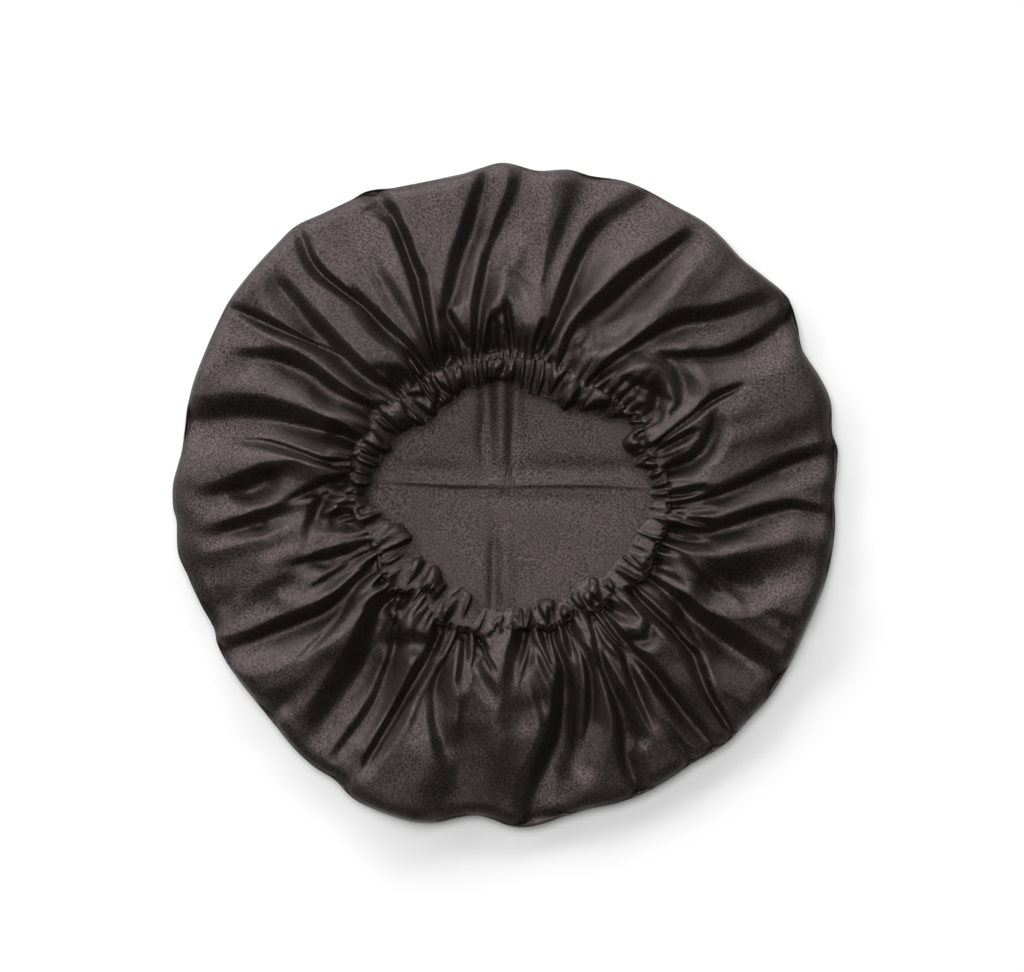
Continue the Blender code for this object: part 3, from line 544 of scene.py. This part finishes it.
def folded(points, rows, gentle):
    """How far folds push the cloth down, and how far ridges lift it, in mm, at points in px.

    A fold has a steep side as wide as its dark band and a gentle side, gentle times as wide. The steep
    side is the one that is turned away from the light.
    """
    deep = np.zeros(len(points))
    lift = np.zeros(len(points))
    for row in rows:
        path = smooth_path(row.path)
        widest = max(row.half_start, row.half_end)
        reach = 2 * widest * max(gentle, 1.5)
        low, high = path.min(0) - reach, path.max(0) + reach
        near = np.all((points > low) & (points < high), axis=1)
        if not near.any():
            continue
        signed, along, past, left = beside_path(points[near], path)
        half = row.half_start + (row.half_end - row.half_start) * along
        share = np.interp(along, [0, 0.3, 0.7, 1], [row.start, 1, 1, row.end])
        half = half * (0.55 + 0.45 * share)
        share = share * (1 - smooth_step(past / (4 * half + 6)))
        if row.depth < 0:
            lift[near] -= row.depth * share * np.exp(-((signed / half) ** 2))
            continue
        lean = np.tanh(3 * (left @ AWAY + 0.1)) if row.lean == 0 else row.lean
        bottom = lean * half
        steep = half * (1 + np.abs(lean))
        length = np.linalg.norm(np.diff(path, axis=0), axis=1).sum()
        run_out = np.maximum(np.minimum(2 * gentle * half, 0.45 * length), 1.4 * half)
        slow = half * (1 - np.abs(lean)) + run_out * np.abs(lean)
        from_bottom = signed - bottom
        on_steep = from_bottom * lean < 0
        t = np.clip(np.abs(from_bottom) / np.where(on_steep, steep, slow), 0, 1)
        deep[near] += (row.depth * share * smooth_step(1 - t)) ** NORM
    return deep ** (1 / NORM), lift


def in_plane(row, wider=1.0):
    """The row with its (px, deg) path turned into points in the plane, in px, and its halves widened."""
    return row._replace(
        path=[at_pixel(px, deg) for px, deg in row.path],
        half_start=row.half_start * wider,
        half_end=row.half_end * wider,
    )


CROWN_FOLDS = [in_plane(row, 1.7) for row in FOLDS]
CASING_FOLDS = [
    Fold(1.6 * row.depth, 0.75, 0.75, 1.7 * row.half, 1.7 * row.half, 0, [at_pixel(px, deg) for px, deg in row.path])
    for row in PUCKERS
]


def pressed(points):
    """How far the panel's pressed creases lift it, in mm, at points in px."""
    lift = np.zeros(len(points))
    for row in PRESSES:
        path = smooth_path([(x - MIDDLE_X, MIDDLE_Y - y) for x, y in row.path])
        signed, along, past, _ = beside_path(points, path)
        share = np.interp(along, [0, 0.2, 0.8, 1], [0.35, 1, 1, 0.35]) * (1 - smooth_step(past / 30))
        lift += 1.3 * row.rise * share * np.exp(-((signed / row.half) ** 2))
    return lift


def new_object(name, vertices, faces, material):
    mesh = bpy.data.meshes.new(name)
    mesh.from_pydata([tuple(v) for v in vertices], [], faces)
    mesh.shade_smooth()
    mesh.materials.append(material)
    obj = bpy.data.objects.new(name, mesh)
    bpy.context.scene.collection.objects.link(obj)
    return obj


def strip_faces(first, second, count):
    """Quads between two closed rings of count vertices, from their first vertices' numbers."""
    out = []
    for i in range(count):
        j = (i + 1) % count
        out.append((first + i, first + j, second + j, second + i))
    return out


def halving_faces(outer, inner, count):
    """Faces between a ring of count vertices and one of half as many inside it."""
    out = []
    for i in range(count // 2):
        a, b, c = outer + 2 * i, outer + 2 * i + 1, outer + (2 * i + 2) % count
        near, far = inner + i, inner + (i + 1) % (count // 2)
        out += [(a, b, near), (b, far, near), (b, c, far)]
    return out


def casing_level(deg):
    """Height of the seam round the mouth."""
    angle = np.radians(deg)
    return SEAM_LEVEL + MM * (0.9 * np.sin(2 * angle + 0.7) + 0.6 * np.sin(5 * angle + 2.1))


DOME = [(-0.1, 0.42), (0.0, 0.51), (0.03, 0.61), (0.08, 0.78), (0.14, 0.92), (0.2, 1.0)]
GATHERS = 96  # small gathers round the seam
GATHER_DEPTH = 2.2  # mm
GATHER_REACH = 0.2  # share of the way to the rim over which they run out


def gathers(deg, way):
    """Small uneven gathers that run out from the seam: 0 on a ridge and 1 in a crisp valley."""
    angle = np.radians(deg)
    phase = GATHERS * angle + 4 * np.sin(3 * angle + 1) + 3 * np.sin(7 * angle + 2)
    valley = 1 - np.abs(np.sin(phase / 2))
    uneven = streaks(0, deg, 60, 60.0, SEED + 6)
    reach = GATHER_REACH * (1.1 + 0.7 * uneven)
    return valley * (0.75 + 0.25 * uneven) * (1 - smooth_step(way / reach))


def crown_points():
    """Rows of points of the bag's cloth, from inside the casing over the puffs to the flat panel."""
    deg = np.arange(CROWN_COLUMNS) * 360.0 / CROWN_COLUMNS
    rim, seam = round_table(RIM, deg), round_table(SEAM, deg)
    ways = np.concatenate([
        [-TUCKED / 180, -TUCKED / 360],
        np.linspace(0, 1, INNER_ROWS + 1) ** 1.25 * DOME_START,
    ])
    turns = np.linspace(0, math.pi / 2, OUTER_ROWS + 1)[1:]
    turn = np.concatenate([np.zeros(len(ways)), turns])[:, None]
    way = np.concatenate([ways, DOME_START + (1 - DOME_START) * np.sin(turns)])[:, None]
    points = at_pixel(seam + (rim - seam) * way, deg + 0 * way)

    share = np.interp(way, [row[0] for row in DOME], [row[1] for row in DOME])
    level = casing_level(deg)
    inner = level + (PUFF_HEIGHT - level) * (2 * share - 1)
    out = np.sin(turn)
    inset = (1 - way) * (rim - seam) * PIXEL
    roof = PUFF_HEIGHT - PUFF_FALL * out**1.3 - RIM_ROLL * np.maximum(1 - inset / ROLL_WIDTH, 0) ** 2
    bend = np.sqrt(np.maximum(1 - np.maximum(1 - inset / RIM_BEND, 0) ** 2, 0))
    outer = RIM_LEVEL + (roof - RIM_LEVEL) * bend
    top = np.where(turn > 0, outer, inner)

    deep, lift = folded(points.reshape(-1, 2), CROWN_FOLDS, 1.8)
    deep, lift = deep.reshape(top.shape), lift.reshape(top.shape)
    fade = smooth_step((way + 0.02) / 0.04) * (0.35 + 0.65 * bend) * smooth_step(inset / (1.5 * MM))
    px = np.hypot(points[..., 0], points[..., 1])
    swell = 0.8 * lattice_noise(points, 42, SEED) + 0.25 * lattice_noise(points, 15, SEED + 1)
    swell += 3.8 * streaks(px, deg, 34, 110.0, SEED + 7) + 1.1 * streaks(px, deg, 90, 60.0, SEED + 8)
    swell += 2.0 * (1 - way) * streaks(px, deg, 58, 80.0, SEED + 9)
    wave = GATHER_DEPTH * np.where(way < 0, 1.5, 1.0)
    height = top - MM * fade * (deep - lift - swell) - MM * wave * (gathers(deg, way) - 0.5)
    floor = 2.2 * MM + (top - 2.2 * MM) * 0.12
    floor += (np.minimum(RIM_LEVEL, top) - floor) * smooth_step(1 - inset / (10 * MM))
    soft = 0.8 * MM
    height = np.where(way > 0, floor + np.logaddexp(0, (height - floor) / soft) * soft, height)
    rows = [np.column_stack([plan * PIXEL, z]) for plan, z in zip(points, height)]
    for k in range(1, UNDER_ROWS + 1):
        turn = k / UNDER_ROWS * math.pi / 2
        radius = rim * PIXEL - RIM_TUCK * (1 - math.cos(turn))
        height = PANEL_LEVEL + (RIM_LEVEL - PANEL_LEVEL) * (1 - math.sin(turn))
        rows.append(np.column_stack([at_pixel(radius, deg), np.full(len(deg), height)]))
    return rows


def build_crown(material):
    rows = crown_points()
    vertices = list(rows)
    faces = []
    count = CROWN_COLUMNS
    for k in range(len(rows) - 1):
        faces += strip_faces(k * count, (k + 1) * count, count)
    last = (len(rows) - 1) * count
    edge = rows[-1]
    radii = np.hypot(edge[:, 0], edge[:, 1])
    deg = np.arange(CROWN_COLUMNS) * 360.0 / CROWN_COLUMNS
    total = len(rows) * count
    # the flat panel: coarse under the puffs, fine inside the mouth, coarser again at the middle
    stations = [(0.94, True), (0.86, False), (0.72, False), (0.6, False)]
    inside = np.linspace(0.48, 0.02, 36)
    stations += [(share, False) for share in inside]
    halve_at = {0.94}
    coarse = {18: True, 26: True, 32: True}
    for number, (share, _) in enumerate(stations):
        halve = share in halve_at or (number - 4) in coarse
        new_count = count // 2 if halve else count
        if halve:
            deg = deg[::2]
            radii = radii[::2]
        even = radii.mean()
        ring = (radii * share if share > 0.7 else even * share + np.zeros(new_count))
        points = at_pixel(ring / PIXEL, deg)
        lift = pressed(points)
        swell = 0.3 * lattice_noise(points, 60, SEED + 4) + 0.12 * lattice_noise(points, 21, SEED + 5)
        calm = smooth_step((0.9 - share) / 0.2)
        billow = 1.3 + 1.2 * smooth_step((share - 0.15) / 0.25)
        height = PANEL_LEVEL + MM * calm * np.maximum(billow + lift + swell, 0.05)
        vertices.append(np.column_stack([points * PIXEL, height]))
        if halve:
            faces += halving_faces(last, total, count)
        else:
            faces += strip_faces(last, total, count)
        last = total
        total += new_count
        count = new_count
    centre = vertices[-1].mean(0)
    vertices.append(centre[None, :])
    faces += [(last + i, last + (i + 1) % count, total) for i in range(count)]
    return new_object("crown_cloth", np.vstack(vertices), faces, material)


CASING_TOP_POINTS = 15
CASING_UNDER_POINTS = 7
LIP = 0.05  # share of the casing's width that its rolled edge takes


def casing_ring(deg):
    """Edge and seam radius in px, and the seam's level, with the scallops of the puckers in the edge."""
    mouth, seam = round_table(MOUTH, deg), round_table(SEAM, deg)
    deep, _ = folded(at_pixel(mouth + 2.5, deg), CASING_FOLDS, 1.2)
    return mouth + 0.45 * deep, seam + 1.0, casing_level(deg)


def casing_top(points, share, level):
    """Height of the casing's upper leaf at points in px, share of the way from edge to seam."""
    arch = np.maximum(1 - np.abs(2 * share - 1) ** 2.2, 0) ** 0.5
    deep, _ = folded(points, CASING_FOLDS, 1.2)
    swell = 0.5 * lattice_noise(points, 17, SEED + 2) + 0.2 * lattice_noise(points, 6, SEED + 3)
    rise = CASING_RISE * arch * (1 + 0.25 * swell) - MM * deep * np.minimum(1, 3 * arch)
    soft = 0.35 * MM
    sag = EDGE_SAG * (1 - share) ** 1.5 + SEAM_PINCH * share**8
    return level - sag + 0.3 * MM + soft * np.logaddexp(0, (rise - 0.3 * MM) / soft)


def build_casing(material):
    deg = np.arange(CASING_COLUMNS) * 360.0 / CASING_COLUMNS
    edge, seam, level = casing_ring(deg)
    rings = []
    for k in range(CASING_TOP_POINTS):
        share = 0.5 - 0.5 * math.cos(math.pi * k / (CASING_TOP_POINTS - 1))
        points = at_pixel(edge + (seam - edge) * share, deg)
        rings.append(np.column_stack([points * PIXEL, casing_top(points, share, level)]))
    for k in range(1, CASING_UNDER_POINTS + 1):
        share = 0.5 + 0.5 * math.cos(math.pi * k / (CASING_UNDER_POINTS + 1))
        points = at_pixel(edge + (seam - edge) * share, deg)
        arch = (1 - abs(2 * share - 1) ** 2.6) ** 0.5
        sag = EDGE_SAG * (1 - share) ** 1.5 + SEAM_PINCH * share**8
        rings.append(np.column_stack([points * PIXEL, level - sag - CASING_DROP * arch]))
    faces = []
    for k in range(len(rings)):
        after = (k + 1) % len(rings)
        faces += strip_faces(k * CASING_COLUMNS, after * CASING_COLUMNS, CASING_COLUMNS)
    return new_object("casing_cloth", np.vstack(rings), faces, material)


ELASTIC_INSET = 2.2 * MM
ELASTIC_WIDTH = 9.0 * MM
ELASTIC_THICKNESS = 1.0 * MM
ELASTIC_COLUMNS = 720
ELASTIC_RIBS = 6


def build_elastic(material):
    """The flat elastic inside the casing, with a rib at each of its rubber threads."""
    deg = np.arange(ELASTIC_COLUMNS) * 360.0 / ELASTIC_COLUMNS
    edge, seam, level = casing_ring(deg)
    rings = []
    across = np.linspace(0, 1, 2 * ELASTIC_RIBS + 1)
    for side in (1, -1):
        for share in across if side > 0 else across[::-1]:
            rib = 0.8 + 0.2 * abs(math.sin(math.pi * ELASTIC_RIBS * share))
            half = ELASTIC_THICKNESS / 2 * rib
            radius = edge * PIXEL + ELASTIC_INSET + ELASTIC_WIDTH * share
            inside = (radius / PIXEL - edge) / (seam - edge)
            middle = level - EDGE_SAG * (1 - inside) ** 1.5 - 0.9 * MM
            rings.append(np.column_stack([at_pixel(radius, deg), middle + side * half]))
    faces = []
    for k in range(len(rings)):
        after = (k + 1) % len(rings)
        faces += strip_faces(k * ELASTIC_COLUMNS, after * ELASTIC_COLUMNS, ELASTIC_COLUMNS)
    return new_object("elastic_band", np.vstack(rings), faces, material)


STITCH_PITCH = 2.4 * MM
STITCH_LENGTH = 1.7 * MM
STITCH_RADIUS = 0.22 * MM
STITCH_INSET = 3.0  # px inside the seam
STITCH_SIDES = 6
STITCH_RINGS = 5


def build_stitches(material):
    """A row of lockstitches just inside the seam, each a small rounded thread sunk in at both ends."""
    fine = np.linspace(0, 360, 3601)[:-1]
    edge, seam, level = casing_ring(fine)
    px = seam - STITCH_INSET
    line = at_pixel(px, fine)
    share = (px - edge) / (seam - edge)
    track = np.column_stack([line * PIXEL, casing_top(line, share, level)])
    lengths = np.linalg.norm(np.diff(np.vstack([track, track[:1]]), axis=0), axis=1)
    run = np.concatenate([[0], np.cumsum(lengths)])
    looped = np.vstack([track, track[:1]])
    count = int(run[-1] / STITCH_PITCH)
    vertices, faces = [], []
    for k in range(count):
        middle = run[-1] * k / count
        stations = middle + STITCH_LENGTH * np.linspace(-0.5, 0.5, STITCH_RINGS)
        spots = np.column_stack([np.interp(stations % run[-1], run, looped[:, axis]) for axis in range(3)])
        along = spots[-1] - spots[0]
        along /= np.linalg.norm(along)
        side = np.cross(along, (0, 0, 1))
        side /= np.linalg.norm(side)
        up = np.cross(side, along)
        first = len(vertices)
        for j, spot in enumerate(spots):
            across = abs(2 * j / (STITCH_RINGS - 1) - 1)
            radius = STITCH_RADIUS * math.sqrt(max(0.04, 1 - across**2))
            lift = 0.1 * MM - 0.3 * MM * across**2
            for i in range(STITCH_SIDES):
                angle = 2 * math.pi * i / STITCH_SIDES
                vertices.append(spot + up * (lift + radius * math.sin(angle)) + side * radius * math.cos(angle))
        for j in range(STITCH_RINGS - 1):
            faces += strip_faces(first + j * STITCH_SIDES, first + (j + 1) * STITCH_SIDES, STITCH_SIDES)
        faces.append(tuple(first + i for i in reversed(range(STITCH_SIDES))))
        faces.append(tuple(first + (STITCH_RINGS - 1) * STITCH_SIDES + i for i in range(STITCH_SIDES)))
    return new_object("seam_stitches", np.array(vertices), faces, material)


def cloth_material(name, base, roughness, twill_depth, grain_depth):
    """Satin: dark smooth yarn with a fine diagonal twill, a little grain and a soft sheen."""
    material = bpy.data.materials.new(name)
    material.use_nodes = True
    nodes, links = material.node_tree.nodes, material.node_tree.links
    shader = nodes["Principled BSDF"]
    shader.inputs["Roughness"].default_value = roughness
    shader.inputs["Specular IOR Level"].default_value = 1.0
    place = nodes.new("ShaderNodeTexCoord")

    twist = nodes.new("ShaderNodeMapping")
    twist.inputs["Rotation"].default_value = (0, 0, math.radians(38))
    links.new(place.outputs["Object"], twist.inputs["Vector"])
    twill = nodes.new("ShaderNodeTexWave")
    twill.wave_type = "BANDS"
    twill.bands_direction = "X"
    twill.inputs["Scale"].default_value = 330.0
    twill.inputs["Distortion"].default_value = 1.5
    twill.inputs["Detail"].default_value = 1.0
    twill.inputs["Detail Scale"].default_value = 0.05
    links.new(twist.outputs["Vector"], twill.inputs["Vector"])

    grain = nodes.new("ShaderNodeTexNoise")
    grain.inputs["Scale"].default_value = 1300.0
    grain.inputs["Detail"].default_value = 0.0
    links.new(place.outputs["Object"], grain.inputs["Vector"])

    cloud = nodes.new("ShaderNodeTexNoise")
    cloud.inputs["Scale"].default_value = 28.0
    cloud.inputs["Detail"].default_value = 4.0
    links.new(place.outputs["Object"], cloud.inputs["Vector"])

    tone = nodes.new("ShaderNodeMix")
    tone.data_type = "RGBA"
    tone.inputs[6].default_value = (base[0] * 0.82, base[1] * 0.82, base[2] * 0.84, 1)
    tone.inputs[7].default_value = (base[0] * 1.2, base[1] * 1.18, base[2] * 1.18, 1)
    links.new(cloud.outputs["Fac"], tone.inputs[0])
    weave = nodes.new("ShaderNodeMix")
    weave.data_type = "RGBA"
    weave.blend_type = "MULTIPLY"
    weave.inputs[0].default_value = 0.2
    links.new(tone.outputs[2], weave.inputs[6])
    links.new(twill.outputs["Color"], weave.inputs[7])
    links.new(weave.outputs[2], shader.inputs["Base Color"])

    spread = nodes.new("ShaderNodeMapRange")
    spread.inputs["To Min"].default_value = roughness - 0.05
    spread.inputs["To Max"].default_value = roughness + 0.06
    links.new(grain.outputs["Fac"], spread.inputs["Value"])
    links.new(spread.outputs["Result"], shader.inputs["Roughness"])

    gloss = nodes.new("ShaderNodeMix")
    gloss.data_type = "RGBA"
    gloss.inputs[6].default_value = (0.28, 0.218, 0.222, 1)
    gloss.inputs[7].default_value = (1.0, 0.78, 0.78, 1)
    speckle = nodes.new("ShaderNodeMapRange")
    speckle.inputs["From Min"].default_value = 0.44
    speckle.inputs["From Max"].default_value = 0.59
    blend = nodes.new("ShaderNodeMix")
    blend.inputs[0].default_value = 0.16
    links.new(grain.outputs["Fac"], blend.inputs[2])
    links.new(twill.outputs["Fac"], blend.inputs[3])
    links.new(blend.outputs[0], speckle.inputs["Value"])
    links.new(speckle.outputs["Result"], gloss.inputs[0])
    links.new(gloss.outputs[2], shader.inputs["Specular Tint"])

    low = nodes.new("ShaderNodeBump")
    low.inputs["Strength"].default_value = 1.0
    low.inputs["Distance"].default_value = twill_depth
    links.new(twill.outputs["Fac"], low.inputs["Height"])
    high = nodes.new("ShaderNodeBump")
    high.inputs["Strength"].default_value = 1.0
    high.inputs["Distance"].default_value = grain_depth
    links.new(grain.outputs["Fac"], high.inputs["Height"])
    links.new(low.outputs["Normal"], high.inputs["Normal"])
    links.new(high.outputs["Normal"], shader.inputs["Normal"])
    material.diffuse_color = (*base, 1)
    return material


def floor_material():
    material = bpy.data.materials.new("pale_floor")
    material.use_nodes = True
    nodes, links = material.node_tree.nodes, material.node_tree.links
    shader = nodes["Principled BSDF"]
    shader.inputs["Roughness"].default_value = 0.9
    shader.inputs["Specular IOR Level"].default_value = 0.1
    shader.inputs["Base Color"].default_value = (0.82, 0.82, 0.82, 1)
    return material


def area_light(name, place, size, power, target=(0, 0, 0)):
    light = bpy.data.lights.new(name, "AREA")
    light.shape = "RECTANGLE"
    light.size, light.size_y = size
    light.energy = power
    obj = bpy.data.objects.new(name, light)
    bpy.context.scene.collection.objects.link(obj)
    obj.location = place
    away = np.array(place, float) - np.array(target, float)
    away /= np.linalg.norm(away)
    import mathutils
    obj.rotation_mode = "QUATERNION"
    obj.rotation_quaternion = mathutils.Vector(away).to_track_quat("Z", "Y")
    return obj


SATIN = (0.0066, 0.0052, 0.0055)
satin = cloth_material("satin", SATIN, 0.50, 0.00006, 0.00006)
gathered = cloth_material("gathered_satin", SATIN, 0.50, 0.00006, 0.00006)
rubber = cloth_material("elastic", (0.02, 0.02, 0.02), 0.7, 0.0001, 0.00004)
thread = cloth_material("thread", (0.02, 0.018, 0.018), 0.5, 0.00002, 0.00002)

crown = build_crown(satin)
casing = build_casing(gathered)
elastic = build_elastic(rubber)
stitches = build_stitches(thread)

for piece, material_slot in (
    (crown, "satin"),
    (casing, "gathered_satin"),
    (elastic, "elastic"),
    (stitches, "gathered_satin"),
):
    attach(piece, "root")
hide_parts("crown")
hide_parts("casing")
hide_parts("elastic")

FLOOR_HALF = 6.0
floor = new_object(
    "floor",
    [(-FLOOR_HALF, -FLOOR_HALF, 0), (FLOOR_HALF, -FLOOR_HALF, 0), (FLOOR_HALF, FLOOR_HALF, 0),
     (-FLOOR_HALF, FLOOR_HALF, 0)],
    [(0, 1, 2, 3)],
    floor_material(),
)


def toward(elevation, distance, turned=0):
    angle = math.radians(elevation)
    azimuth = math.radians(LIGHT_AZIMUTH + turned)
    flat = distance * math.cos(angle)
    return (flat * math.cos(azimuth), flat * math.sin(azimuth), distance * math.sin(angle))


area_light("softbox_over", toward(76, 6.0), (4.2, 4.2), 315)
area_light("softbox_low_left", toward(22, 8.0, 28), (9.0, 2.4), 560)
area_light("softbox_low_right", toward(22, 8.0, -28), (9.0, 2.4), 560)

world = bpy.data.worlds.new("studio")
world.use_nodes = True
world.node_tree.nodes["Background"].inputs["Color"].default_value = (1, 1, 1, 1)
world.node_tree.nodes["Background"].inputs["Strength"].default_value = 0.03
bpy.context.scene.world = world
bpy.context.scene.view_settings.view_transform = "Standard"

FRAME_WIDTH = 1024 * PIXEL
CAMERA_HEIGHT = 2.0
CAMERA_LEVEL = 0.012  # height at which the frame is as wide as the photo's
camera = bpy.data.cameras.new("camera")
camera.sensor_width = 36.0
camera.lens = 36.0 * (CAMERA_HEIGHT - CAMERA_LEVEL) / FRAME_WIDTH
camera.clip_start, camera.clip_end = 0.05, 20
camera_object = bpy.data.objects.new("camera", camera)
bpy.context.scene.collection.objects.link(camera_object)
camera_object.location = ((512 - MIDDLE_X) * PIXEL, (MIDDLE_Y - 486) * PIXEL, CAMERA_HEIGHT)
bpy.context.scene.camera = camera_object
